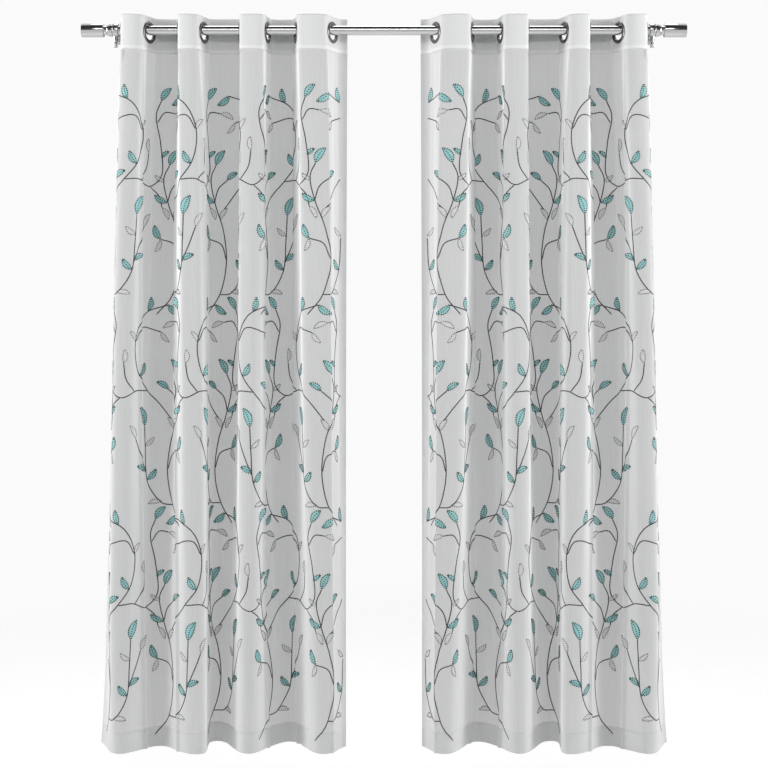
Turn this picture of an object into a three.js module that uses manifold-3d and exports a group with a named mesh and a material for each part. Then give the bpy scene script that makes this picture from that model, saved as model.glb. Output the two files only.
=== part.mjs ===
// A pair of sheer voile curtains on eyelets, hung on one metal rod held by two wall brackets.
// Millimetres. +X to the right, +Y towards the wall, +Z up. The origin is on the wall, midway between
// the brackets and level with the rod. The left half is modelled and the right half mirrors it.
import * as THREE from "three";
import { mergeVertices } from "three/addons/utils/BufferGeometryUtils.js";
import Module from "manifold-3d";

const wasm = await Module();
wasm.setup();

const CLEAR = 0.3;

const ROD_RADIUS = 14;
const ROD_BORE = 12.6;
const ROD_HALF = 792;
const STANDOFF = 90;

const HEAD_TOP = 40;
const HEAD_HEIGHT = 102;
const HEAD_THICK = 2.4;
const CURTAIN_LENGTH = 2134;
const CLOTH_THICK = 1.5;
const HEM_HEIGHT = 58;
const HEM_THICK = 2.4;

const EYELET_BORE = 21;
const EYELET_RADIUS = 32;
const EYELET_CORE = 24.5;
const EYELET_HALF_THICK = 4;
const EYELET_FLAT = 33;
const EYELET_DROP = 6.3;

const FINIAL_RADIUS = 20;
const FINIAL_LENGTH = 65;
const BRACKET_X = 783;
const BRACKET_WIDTH = 17;
const BRACKET_RADIUS = 19.5;
const ARM_RADIUS = 7;
const PLATE_RADIUS = 27;
const PLATE_THICK = 5;
const SCREW_RADIUS = 6;
const SCREW_DROP = 50;

// One row for each eyelet of the left curtain, from its outer edge inwards. x is where the cloth crosses
// the rod, slope its angle to the rod there in degrees, and crest how far from the rod the fold that
// follows reaches, towards the room (-) or the wall (+).
const CROSSINGS = [
  { x: -766, slope: 84, crest: -44 },
  { x: -686, slope: 65, crest: 38 },
  { x: -600, slope: 84, crest: -44 },
  { x: -527, slope: 71, crest: 38 },
  { x: -420, slope: 86, crest: -44 },
  { x: -341, slope: 78, crest: 44 },
  { x: -257, slope: 78, crest: -44 },
  { x: -151, slope: 64, crest: 0 },
];
const HEAD_EDGES = {
  outer: { x: -772, y: 70 },
  inner: { x: -108, y: 38 },
};

// One row for each fold at the hem, from the outer edge inwards: where its crest is, how far along the
// hem it runs level to either side, and how far it bows sideways halfway up the curtain.
const HEM_FOLDS = [
  { x: -836, y: 50, level: 12, bow: 0 },
  { x: -762, y: -58, level: 40, bow: -12 },
  { x: -653, y: 12, level: 46, bow: -8 },
  { x: -540, y: -60, level: 62, bow: 3 },
  { x: -496, y: 58, level: 52, bow: 4 },
  { x: -394, y: -56, level: 44, bow: 0 },
  { x: -279, y: 52, level: 48, bow: -10 },
  { x: -178, y: -58, level: 46, bow: 0 },
  { x: -111, y: 10, level: 14, bow: -2 },
];
const COLUMNS_PER_FOLD = 6;

// One row for each level of the hanging cloth: how far down it is, as a share of its length, and how far
// its outer edge stands out (-) or in (+) from a straight fall there.
const LEVELS = [
  { share: 0, edge: 0 },
  { share: 0.02, edge: -13 },
  { share: 0.06, edge: -15 },
  { share: 0.16, edge: -13 },
  { share: 0.3, edge: -8 },
  { share: 0.45, edge: -4 },
  { share: 0.6, edge: 0 },
  { share: 0.75, edge: 3 },
  { share: 0.88, edge: 6 },
];
const HEM_EDGE = 3;

const group = new THREE.Group();
const left = new THREE.Group();
const right = new THREE.Group();
right.scale.x = -1;
group.add(left, right);

const COLOURS = {
  voile: { color: 0xe4e7e8, roughness: 0.9, metalness: 0 },
  heading: { color: 0xeceeee, roughness: 0.9, metalness: 0 },
  eyelet: { color: 0x5f6265, roughness: 0.3, metalness: 1 },
  rod: { color: 0xb9bbbd, roughness: 0.22, metalness: 1 },
};

function add(parent, name, geometry, slot) {
  const mesh = new THREE.Mesh(geometry, new THREE.MeshStandardMaterial(COLOURS[slot]));
  mesh.name = name;
  mesh.material.name = slot;
  parent.add(mesh);
}

// The same piece at both ends or in both curtains.
function addPair(name, geometry, slot, number = "") {
  add(left, `${name}_left${number}`, geometry, slot);
  add(right, `${name}_right${number}`, geometry, slot);
}

function solidOf(geometry) {
  const bare = geometry.clone();
  bare.deleteAttribute("normal");
  bare.deleteAttribute("uv");
  const merged = mergeVertices(bare, 1e-3);
  return new wasm.Manifold(
    new wasm.Mesh({
      numProp: 3,
      vertProperties: merged.attributes.position.array,
      triVerts: new Uint32Array(merged.index.array),
    }),
  );
}

function geometryOf(solid) {
  const mesh = solid.getMesh();
  const geometry = new THREE.BufferGeometry();
  geometry.setAttribute("position", new THREE.BufferAttribute(mesh.vertProperties, 3));
  geometry.setIndex(new THREE.BufferAttribute(mesh.triVerts, 1));
  return geometry;
}

// A turned piece about the Z axis, from a closed outline of [radius, height] points.
function turned(outline, segments) {
  const points = outline.map(([radius, height]) => new THREE.Vector2(radius, height));
  if (outline[0][0] > 0) points.push(points[0].clone());
  return new THREE.LatheGeometry(points, segments).rotateX(Math.PI / 2);
}

// The rod is one plain tube.
const tube = turned(
  [
    [ROD_BORE, -ROD_HALF],
    [ROD_RADIUS, -ROD_HALF],
    [ROD_RADIUS, ROD_HALF],
    [ROD_BORE, ROD_HALF],
  ],
  24,
);
add(group, "rod", tube.rotateY(Math.PI / 2).translate(0, -STANDOFF, 0), "rod");

// Each finial is a turned cap: a spigot inside the rod, a bell on its end, a neck and a plain cylinder.
const plug = ROD_BORE - CLEAR;
const bellEnd = ROD_HALF + CLEAR + 17;
const neckEnd = bellEnd + 8;
const tip = neckEnd + FINIAL_LENGTH;
const finial = turned(
  [
    [0, ROD_HALF - 24],
    [plug, ROD_HALF - 24],
    [plug, ROD_HALF + CLEAR],
    [18.5, ROD_HALF + CLEAR],
    [18, ROD_HALF + 6],
    [15, bellEnd],
    [13, bellEnd],
    [13, neckEnd],
    [FINIAL_RADIUS, neckEnd],
    [FINIAL_RADIUS, tip - 1.5],
    [FINIAL_RADIUS - 1.5, tip],
    [0, tip],
  ],
  24,
);
addPair("finial", finial.rotateY(-Math.PI / 2).translate(0, -STANDOFF, 0), "rod");

// Each bracket is one casting: a wall plate, an arm, and a ring round the rod with a lug below it.
const plate = new THREE.CylinderGeometry(PLATE_RADIUS, PLATE_RADIUS, PLATE_THICK, 24);
const arm = new THREE.CylinderGeometry(ARM_RADIUS, ARM_RADIUS, STANDOFF - PLATE_THICK, 16);
const ring = new THREE.CylinderGeometry(BRACKET_RADIUS, BRACKET_RADIUS, BRACKET_WIDTH, 24);
const lug = new THREE.CylinderGeometry(8, 6.5, 34, 16);
const bore = new THREE.CylinderGeometry(ROD_RADIUS + CLEAR, ROD_RADIUS + CLEAR, 40, 24);
const thread = new THREE.CylinderGeometry(3 + CLEAR, 3 + CLEAR, 60, 12);
const bracket = solidOf(plate.translate(0, -PLATE_THICK / 2, 0))
  .add(solidOf(arm.translate(0, -STANDOFF / 2, 0)))
  .add(solidOf(ring.rotateZ(Math.PI / 2).translate(0, -STANDOFF, 0)))
  .add(solidOf(lug.rotateX(Math.PI / 2).translate(0, -STANDOFF, -17)))
  .subtract(solidOf(bore.rotateZ(Math.PI / 2).translate(0, -STANDOFF, 0)))
  .subtract(solidOf(thread.rotateX(Math.PI / 2).translate(0, -STANDOFF, -30)));
addPair("bracket", geometryOf(bracket).translate(-BRACKET_X, 0, 0), "rod");

// A set screw in each lug presses on the rod.
const screw = turned(
  [
    [0, -SCREW_DROP],
    [SCREW_RADIUS, -SCREW_DROP],
    [SCREW_RADIUS, -36],
    [3, -34 - CLEAR],
    [3, -ROD_RADIUS - CLEAR],
    [0, -ROD_RADIUS - CLEAR],
  ],
  14,
);
addPair("set_screw", screw.translate(-BRACKET_X, -STANDOFF, 0), "rod");

// The cloth as seen from above. Every curve runs from the outer edge of the left curtain inwards.
const point = (x, y) => new THREE.Vector2(x, y);

function splitAtMiddle(curve) {
  const { v0, v1, v2, v3 } = curve;
  const middle = (a, b) => a.clone().lerp(b, 0.5);
  const start = middle(v0, v1);
  const top = middle(v1, v2);
  const end = middle(v2, v3);
  const startTop = middle(start, top);
  const topEnd = middle(top, end);
  const crest = middle(startTop, topEnd);
  return [
    new THREE.CubicBezierCurve(v0, start, startTop, crest),
    new THREE.CubicBezierCurve(crest, topEnd, end, v3),
  ];
}

// The flat stretch of heading that each eyelet is set in.
const flats = CROSSINGS.map(({ x, slope }, index) => {
  const angle = THREE.MathUtils.degToRad(index % 2 ? slope : -slope);
  const along = point(Math.cos(angle), Math.sin(angle));
  const centre = point(x, 0);
  return {
    centre,
    along,
    start: centre.clone().addScaledVector(along, -EYELET_FLAT),
    end: centre.clone().addScaledVector(along, EYELET_FLAT),
  };
});

// The rounded fold between two flats, as its two halves.
const lobes = CROSSINGS.slice(0, -1).map(({ crest }, index) => {
  const from = flats[index];
  const to = flats[index + 1];
  const rise = Math.abs(from.along.y) + Math.abs(to.along.y);
  const handle = Math.abs(crest - (from.end.y + to.start.y) / 2) / (0.375 * rise);
  return splitAtMiddle(
    new THREE.CubicBezierCurve(
      from.end,
      from.end.clone().addScaledVector(from.along, handle),
      to.start.clone().addScaledVector(to.along, -handle),
      to.start,
    ),
  );
});

const outerEdge = point(HEAD_EDGES.outer.x, HEAD_EDGES.outer.y);
const innerEdge = point(HEAD_EDGES.inner.x, HEAD_EDGES.inner.y);
const firstFlat = flats[0];
const lastFlat = flats[flats.length - 1];
const outerHem = new THREE.QuadraticBezierCurve(
  outerEdge,
  firstFlat.start.clone().addScaledVector(firstFlat.along, -18),
  firstFlat.start,
);
const innerHem = new THREE.QuadraticBezierCurve(
  lastFlat.end,
  lastFlat.end.clone().addScaledVector(lastFlat.along, 14),
  innerEdge,
);

// From crest to crest in the heading, through one eyelet each.
const headFolds = flats.map((flat, index) => {
  const fold = new THREE.CurvePath();
  fold.add(index === 0 ? outerHem : lobes[index - 1][1]);
  fold.add(new THREE.LineCurve(flat.start, flat.end));
  fold.add(index === flats.length - 1 ? innerHem : lobes[index][0]);
  return fold;
});

// From crest to crest at the hem.
const hemFolds = flats.map((_, index) => {
  const from = HEM_FOLDS[index];
  const to = HEM_FOLDS[index + 1];
  return new THREE.CubicBezierCurve(
    point(from.x, from.y),
    point(from.x + from.level, from.y),
    point(to.x - to.level, to.y),
    point(to.x, to.y),
  );
});

function runOf(folds) {
  return folds.flatMap((fold, index) => fold.getSpacedPoints(COLUMNS_PER_FOLD).slice(index ? 1 : 0));
}

const headRun = runOf(headFolds);
const hemRun = runOf(hemFolds);
const bowRun = headRun.map((_, column) => {
  const fold = Math.min(Math.floor(column / COLUMNS_PER_FOLD), flats.length - 1);
  const share = column / COLUMNS_PER_FOLD - fold;
  return THREE.MathUtils.lerp(HEM_FOLDS[fold].bow, HEM_FOLDS[fold + 1].bow, share);
});

const edgeRun = headRun.map((_, column) => Math.max(1 - column / COLUMNS_PER_FOLD, 0) ** 2);

// A run of points moved sideways by a distance, square to the run.
function offset(run, distance) {
  return run.map((here, index) => {
    const before = run[Math.max(index - 1, 0)];
    const after = run[Math.min(index + 1, run.length - 1)];
    const along = after.clone().sub(before).normalize();
    return point(here.x - along.y * distance, here.y + along.x * distance);
  });
}

// The heading is a stiffened band with the top of the cloth turned over it, and a round hole at each eyelet.
const bandRun = [
  ...outerHem.getPoints(2).slice(0, -1),
  ...flats.flatMap((flat, index) => [
    flat.start,
    ...(index < lobes.length
      ? [flat.end, ...lobes[index][0].getPoints(3).slice(1), ...lobes[index][1].getPoints(3).slice(1, -1)]
      : innerHem.getPoints(2)),
  ]),
];
const bandOutline = [...offset(bandRun, HEAD_THICK / 2), ...offset(bandRun, -HEAD_THICK / 2).reverse()];
const band = new THREE.ExtrudeGeometry(new THREE.Shape(bandOutline), {
  depth: HEAD_HEIGHT,
  bevelEnabled: false,
});
const holes = flats.map(({ centre, along }) =>
  solidOf(
    new THREE.CylinderGeometry(EYELET_CORE + CLEAR, EYELET_CORE + CLEAR, 20, 20)
      .rotateZ(Math.atan2(along.y, along.x))
      .translate(centre.x, centre.y, -EYELET_DROP),
  ),
);
const heading = holes.reduce(
  (cloth, hole) => cloth.subtract(hole),
  solidOf(band.translate(0, 0, HEAD_TOP - HEAD_HEIGHT)),
);
addPair("heading", geometryOf(heading).translate(0, -STANDOFF, 0), "heading");

// Each eyelet is a metal ring with a groove round it that grips the edge of its hole.
const groove = HEAD_THICK / 2 + CLEAR;
const eyelet = new THREE.LatheGeometry(
  [
    point(EYELET_BORE, -2.2),
    point(26.5, -EYELET_HALF_THICK),
    point(EYELET_RADIUS, -groove),
    point(EYELET_CORE, -groove),
    point(EYELET_CORE, groove),
    point(EYELET_RADIUS, groove),
    point(26.5, EYELET_HALF_THICK),
    point(EYELET_BORE, 2.2),
    point(EYELET_BORE, -2.2),
  ],
  20,
);
flats.forEach(({ centre, along }, index) => {
  const placed = eyelet.clone().rotateZ(Math.atan2(along.y, along.x));
  placed.translate(centre.x, centre.y - STANDOFF, -EYELET_DROP);
  addPair("eyelet", placed, "eyelet", `_${index + 1}`);
});

// The hanging cloth is one sheet that passes from the folds of the heading to those of the hem, with
// the bottom turned up into a thicker hem.
const clothTop = HEAD_TOP - HEAD_HEIGHT - CLEAR;
const clothLength = CURTAIN_LENGTH - HEAD_HEIGHT - CLEAR;
const hemStart = 1 - HEM_HEIGHT / clothLength;
const rows = [
  ...LEVELS.map((level) => ({ ...level, thick: CLOTH_THICK })),
  { share: hemStart, edge: HEM_EDGE, thick: CLOTH_THICK },
  { share: hemStart + 0.002, edge: HEM_EDGE, thick: HEM_THICK },
  { share: 1, edge: 0, thick: HEM_THICK },
];

function clothSide(side) {
  return rows.flatMap(({ share, edge, thick }) => {
    const run = headRun.map((head, column) => {
      const here = head.clone().lerp(hemRun[column], share);
      here.x += bowRun[column] * 4 * share * (1 - share) + edgeRun[column] * edge;
      return here;
    });
    return offset(run, (side * thick) / 2).map(
      ({ x, y }) => new THREE.Vector3(x, y - STANDOFF, clothTop - share * clothLength),
    );
  });
}

function sheetGeometry() {
  const across = headRun.length;
  const down = rows.length;
  const back = across * down;
  const faces = [];
  const quad = (a, b, c, d) => faces.push(a, b, c, a, c, d);
  for (let row = 0; row < down - 1; row += 1) {
    for (let column = 0; column < across - 1; column += 1) {
      const at = row * across + column;
      quad(at, at + across, at + across + 1, at + 1);
      quad(back + at, back + at + 1, back + at + across + 1, back + at + across);
    }
    const start = row * across;
    const end = start + across - 1;
    quad(start, back + start, back + start + across, start + across);
    quad(end, end + across, back + end + across, back + end);
  }
  for (let column = 0; column < across - 1; column += 1) {
    const bottom = (down - 1) * across + column;
    quad(column, column + 1, back + column + 1, back + column);
    quad(bottom, back + bottom, back + bottom + 1, bottom + 1);
  }
  const geometry = new THREE.BufferGeometry();
  geometry.setFromPoints([...clothSide(-1), ...clothSide(1)]);
  geometry.setIndex(faces);
  return geometry;
}
addPair("panel", sheetGeometry(), "voile");

export default group;
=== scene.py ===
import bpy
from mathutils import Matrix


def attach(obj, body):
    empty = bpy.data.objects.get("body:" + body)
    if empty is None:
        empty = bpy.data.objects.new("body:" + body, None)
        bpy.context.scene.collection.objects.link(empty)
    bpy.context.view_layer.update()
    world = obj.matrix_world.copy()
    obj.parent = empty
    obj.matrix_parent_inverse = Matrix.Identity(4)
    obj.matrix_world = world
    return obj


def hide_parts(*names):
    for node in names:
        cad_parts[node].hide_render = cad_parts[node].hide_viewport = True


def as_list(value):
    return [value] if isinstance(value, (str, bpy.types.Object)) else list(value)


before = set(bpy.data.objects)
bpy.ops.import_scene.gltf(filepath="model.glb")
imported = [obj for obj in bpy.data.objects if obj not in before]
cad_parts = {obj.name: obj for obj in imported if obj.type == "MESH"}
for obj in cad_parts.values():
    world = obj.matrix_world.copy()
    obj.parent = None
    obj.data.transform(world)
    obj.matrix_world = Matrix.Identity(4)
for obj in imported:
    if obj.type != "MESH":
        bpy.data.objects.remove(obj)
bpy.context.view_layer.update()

import math

import bmesh
import bpy
import numpy as np

# ROD
# One polished steel tube, a little thinner than a broom handle, that both curtains hang on. It is drawn and
# polished along its length, and its cut ends are hidden by the finials.
ROD_RADIUS = 0.014
ROD_HALF = 0.792
ROD_AXIS_Y = -0.090
SHARP_CORNER = math.radians(38)


class Flow:
    """What comes out of a node in a finish, so that sums on it are written as plain expressions."""

    def __init__(self, finish, output):
        self.finish = finish
        self.output = output

    def sum(self, operation, first, second):
        return self.finish.node("ShaderNodeMath", {"operation": operation}, {0: first, 1: second})

    def __add__(self, other):
        return self.sum("ADD", self, other)

    def __radd__(self, other):
        return self.sum("ADD", other, self)

    def __sub__(self, other):
        return self.sum("SUBTRACT", self, other)

    def __rsub__(self, other):
        return self.sum("SUBTRACT", other, self)

    def __mul__(self, other):
        return self.sum("MULTIPLY", self, other)

    def __rmul__(self, other):
        return self.sum("MULTIPLY", other, self)


class Finish:
    """The nodes of a material or of the surround, put together one by one."""

    def __init__(self, owner):
        self.owner = owner
        owner.use_nodes = True
        self.tree = owner.node_tree
        self.tree.nodes.clear()

    def node(self, kind, settings, sockets, out=0):
        made = self.tree.nodes.new(kind)
        for name, value in settings.items():
            setattr(made, name, value)
        for key, value in sockets.items():
            if isinstance(value, Flow):
                self.tree.links.new(value.output, made.inputs[key])
            else:
                made.inputs[key].default_value = value
        return Flow(self, made.outputs[out])

    def surface(self, shader, end="ShaderNodeOutputMaterial"):
        self.tree.links.new(shader.output, self.tree.nodes.new(end).inputs["Surface"])
        return self.owner

    def principled(self, sockets):
        return self.node("ShaderNodeBsdfPrincipled", {}, sockets)

    def bump(self, height, strength, distance=0.0004):
        sockets = {"Height": height, "Strength": strength, "Distance": distance}
        return self.node("ShaderNodeBump", {}, sockets)

    def blend(self, share, first, second):
        """A colour between two others."""
        return self.node("ShaderNodeMix", {"data_type": "RGBA"}, {0: share, 6: first, 7: second}, out=2)

    def layer(self, share, under, over):
        """A surface between two others."""
        return self.node("ShaderNodeMixShader", {}, {0: share, 1: under, 2: over})

    def ramp(self, value, start, end, low=0.0, high=1.0):
        """A number that goes from low to high while the value goes from start to end."""
        sockets = {"Value": value, "From Min": start, "From Max": end, "To Min": low, "To Max": high}
        return self.node("ShaderNodeMapRange", {}, sockets)

    def noise(self, place, scale, detail):
        return self.node("ShaderNodeTexNoise", {}, {"Vector": place, "Scale": scale, "Detail": detail})

    def part(self, vector, axis):
        return self.node("ShaderNodeSeparateXYZ", {}, {0: vector}, out=axis)


def polished_metal(name, colour, roughness, grain_along):
    """Metal with fine polishing lines across or along it and a faint cloudiness."""
    finish = Finish(bpy.data.materials.new(name))
    place = finish.node("ShaderNodeTexCoord", {}, {}, out="Object")
    stretched = finish.node("ShaderNodeMapping", {}, {"Vector": place, "Scale": grain_along})
    lines = finish.noise(stretched, 1.0, 3.0)
    cloud = finish.noise(place, 22.0, 4.0)
    tone = finish.blend(cloud * 0.5, colour, tuple(0.8 * part for part in colour[:3]) + (1,))
    relief = finish.bump(lines, 0.05, 0.0003)
    shader = finish.principled({
        "Base Color": tone,
        "Metallic": 1.0,
        "Roughness": roughness * 0.7 + lines * roughness * 0.4 + cloud * roughness * 0.2,
        "Normal": relief,
    })
    return finish.surface(shader)


def placed(name, data):
    """A new object in the scene, at the origin."""
    piece = bpy.data.objects.new(name, data)
    bpy.context.scene.collection.objects.link(piece)
    return piece


def made_piece(name, points, faces, material, uv=None):
    """A mesh object from points in metres, smooth but for its sharp corners."""
    mesh = bpy.data.meshes.new(name)
    places = [tuple(map(float, point)) for point in points]
    mesh.from_pydata(places, [], [tuple(map(int, face)) for face in faces])
    if uv is not None:
        layer = mesh.uv_layers.new(name="flat")
        corner = np.empty(len(mesh.loops), np.int32)
        mesh.loops.foreach_get("vertex_index", corner)
        layer.data.foreach_set("uv", np.asarray(uv, np.float32)[corner].ravel())
    mesh.shade_smooth()
    mesh.set_sharp_from_angle(angle=SHARP_CORNER)
    mesh.materials.append(material)
    return placed(name, mesh)


def turned(outline, start, along, steps=64, ripple=(0, 0.0)):
    """Points and faces of a piece turned on a lathe. The outline's rows are distances along the axis and
    radii. It closes on the axis at a zero radius, or else on itself. A ripple flutes its widest part."""
    along = np.array(along, float)
    side = np.cross(along, (0.0, 0.0, 1.0) if abs(along[2]) < 0.9 else (1.0, 0.0, 0.0))
    side /= np.linalg.norm(side)
    up = np.cross(along, side)
    angles = np.arange(steps) * 2 * np.pi / steps
    widest = max(radius for _, radius in outline)
    points, rings = [], []
    for distance, radius in outline:
        centre = np.array(start) + along * distance
        if radius == 0:
            rings.append([len(points)] * steps)
            points.append(centre)
            continue
        wave = ripple[1] * np.cos(ripple[0] * angles) if radius > widest - 1e-6 else 0 * angles
        rings.append(list(range(len(points), len(points) + steps)))
        reach = radius + wave
        ring = centre + np.outer(reach * np.cos(angles), side)
        points.extend(ring + np.outer(reach * np.sin(angles), up))
    if outline[0][1] > 0:
        rings.append(rings[0])
    faces = []
    for near, far in zip(rings, rings[1:]):
        for step in range(steps):
            after = (step + 1) % steps
            corners = (near[step], near[after], far[after], far[step])
            faces.append(tuple(dict.fromkeys(corners)))
    return points, faces


steel = polished_metal("polished_steel", (0.60, 0.605, 0.61, 1), 0.16, (6.0, 900.0, 900.0))
rod_outline = [
    (-ROD_HALF, ROD_RADIUS - 0.0014),
    (-ROD_HALF, ROD_RADIUS - 0.0004),
    (-ROD_HALF + 0.0004, ROD_RADIUS),
    (ROD_HALF - 0.0004, ROD_RADIUS),
    (ROD_HALF, ROD_RADIUS - 0.0004),
    (ROD_HALF, ROD_RADIUS - 0.0014),
]
rod = made_piece("curtain_rod", *turned(rod_outline, (0, ROD_AXIS_Y, 0), (1, 0, 0), steps=72), steel)
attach(rod, "root")
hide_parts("rod")

# FINIALS
# A turned steel cap on each end of the rod: a bell that covers the cut end, a narrow neck and a plain
# cylinder with softened rims. A spigot pushes into the tube.
SIDES = (("left", -1), ("right", 1))
FINIAL_RADIUS = 0.020
bell_start = ROD_HALF + 0.0003
bell_end = bell_start + 0.017
neck_end = bell_end + 0.008
finial_tip = neck_end + 0.065
finial_outline = [
    (ROD_HALF - 0.024, 0),
    (ROD_HALF - 0.024, 0.0113),
    (ROD_HALF - 0.023, 0.0123),
    (bell_start, 0.0123),
    (bell_start, 0.0178),
    (bell_start + 0.0007, 0.0185),
    (bell_start + 0.0050, 0.0183),
    (bell_start + 0.0090, 0.0175),
    (bell_start + 0.0130, 0.0162),
    (bell_end - 0.0006, 0.0150),
    (bell_end, 0.0144),
    (bell_end, 0.0130),
    (neck_end, 0.0130),
    (neck_end, FINIAL_RADIUS - 0.0010),
    (neck_end + 0.0004, FINIAL_RADIUS - 0.0003),
    (neck_end + 0.0012, FINIAL_RADIUS),
    (finial_tip - 0.0016, FINIAL_RADIUS),
    (finial_tip - 0.0006, FINIAL_RADIUS - 0.0004),
    (finial_tip, FINIAL_RADIUS - 0.0016),
    (finial_tip, 0),
]
for side, way in SIDES:
    shape = turned(finial_outline, (0, ROD_AXIS_Y, 0), (way, 0, 0), steps=72)
    finial = made_piece(f"finial_{side}_turned", *shape, steel)
    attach(finial, "root")
    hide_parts(f"finial_{side}")

# BRACKETS
# A steel casting at each end carries the rod: a round plate that is screwed to the wall, an arm, and a
# ring round the rod with a lug under it for the set screw.
BRACKET_X = 0.783
satin = polished_metal("satin_steel", (0.56, 0.565, 0.57, 1), 0.24, (400.0, 400.0, 400.0))


def mended(mesh, joined=0.0, thinnest=0.0):
    """Turns the faces of a mesh outwards, after points closer than one distance are joined and edges
    shorter than another are taken out."""
    work = bmesh.new()
    work.from_mesh(mesh)
    if joined:
        bmesh.ops.remove_doubles(work, verts=work.verts, dist=joined)
    if thinnest:
        bmesh.ops.dissolve_degenerate(work, edges=work.edges, dist=thinnest)
    bmesh.ops.recalc_face_normals(work, faces=work.faces)
    work.to_mesh(mesh)
    work.free()


def united(name, shells, material):
    """One closed piece from overlapping closed shells."""
    parts = [made_piece(f"{name}_shell_{number}", *shell, material) for number, shell in enumerate(shells)]
    for part in parts:
        mended(part.data)
    for part in parts[1:]:
        joined = parts[0].modifiers.new(part.name, "BOOLEAN")
        joined.operation = "UNION"
        joined.solver = "EXACT"
        joined.object = part
    baked = bpy.data.meshes.new_from_object(parts[0].evaluated_get(bpy.context.evaluated_depsgraph_get()))
    baked.name = name
    baked.shade_smooth()
    baked.set_sharp_from_angle(angle=SHARP_CORNER)
    for part in parts:
        bpy.data.objects.remove(part)
    return placed(name, baked)


plate_outline = [
    (0, 0), (0, 0.0270), (-0.0034, 0.0270), (-0.0044, 0.0266), (-0.0050, 0.0256),
    (-0.0050, 0),
]
arm_outline = [
    (-0.0040, 0), (-0.0040, 0.0100), (-0.0060, 0.0086), (-0.0085, 0.0074),
    (-0.0120, 0.0070), (-0.0655, 0.0070), (-0.0690, 0.0074), (-0.0730, 0.0080),
    (-0.0730, 0),
]
ring_outline = [
    (-0.0085, 0.0143), (-0.0085, 0.0183), (-0.0081, 0.0191), (-0.0073, 0.0195),
    (0.0073, 0.0195), (0.0081, 0.0191), (0.0085, 0.0183), (0.0085, 0.0143),
]
lug_outline = [
    (-0.0160, 0), (-0.0160, 0.0078), (-0.0250, 0.0070), (-0.0334, 0.0066),
    (-0.0340, 0.0060), (-0.0340, 0),
]
for side, way in SIDES:
    at_wall = (way * BRACKET_X, 0, 0)
    at_rod = (way * BRACKET_X, ROD_AXIS_Y, 0)
    bracket = united(
        f"bracket_{side}_cast",
        [
            turned(ring_outline, at_rod, (1, 0, 0), steps=56),
            turned(plate_outline, at_wall, (0, 1, 0), steps=48),
            turned(arm_outline, at_wall, (0, 1, 0), steps=32),
            turned(lug_outline, at_rod, (0, 0, 1), steps=32),
        ],
        satin,
    )
    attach(bracket, "root")
    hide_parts(f"bracket_{side}")

# SET SCREWS
# A fluted steel thumbscrew turns up through the lug under each bracket ring. Its end presses on the rod and
# holds it still.
thumbscrew_outline = [
    (-0.0500, 0), (-0.0500, 0.0050), (-0.0494, 0.0060), (-0.0372, 0.0060),
    (-0.0362, 0.0050), (-0.0356, 0.0034), (-0.0343, 0.0030), (-0.0343, 0),
]
for side, way in SIDES:
    at_rod = (way * BRACKET_X, ROD_AXIS_Y, 0)
    shape = turned(thumbscrew_outline, at_rod, (0, 0, 1), steps=72, ripple=(18, 0.00035))
    thumbscrew = made_piece(f"set_screw_{side}_fluted", *shape, satin)
    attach(thumbscrew, "root")
    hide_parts(f"set_screw_{side}")

# EYELETS
# Dark polished rings, each pressed together from a front and a back half through a hole in the heading.
# They are threaded on the rod and hang from its top.
EYELET_DROP = 0.0063
GROOVE_HALF = 0.0015
# Each row is one eyelet of the left curtain, from its outer edge inwards: where the cloth crosses the
# rod, its angle to the rod in degrees, and how far the fold that follows reaches.
CROSSINGS = (
    (-0.766, 84, -0.044),
    (-0.686, 65, 0.038),
    (-0.600, 84, -0.044),
    (-0.527, 71, 0.038),
    (-0.420, 86, -0.044),
    (-0.341, 78, 0.044),
    (-0.257, 78, -0.044),
    (-0.151, 64, 0.0),
)


def turns_of_eyelets():
    """The angle of each flat stretch of heading, seen from above. The cloth crosses the rod to and fro."""
    return [math.radians(slope if number % 2 else -slope) for number, (_, slope, _) in enumerate(CROSSINGS)]


def baked_tree(name, carrier, material):
    """The result of a piece's geometry nodes as a plain mesh piece."""
    result = bpy.data.meshes.new_from_object(carrier.evaluated_get(bpy.context.evaluated_depsgraph_get()))
    result.name = name
    result.materials.clear()
    result.materials.append(material)
    result.shade_smooth()
    bpy.data.objects.remove(carrier)
    return placed(name, result)


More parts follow.
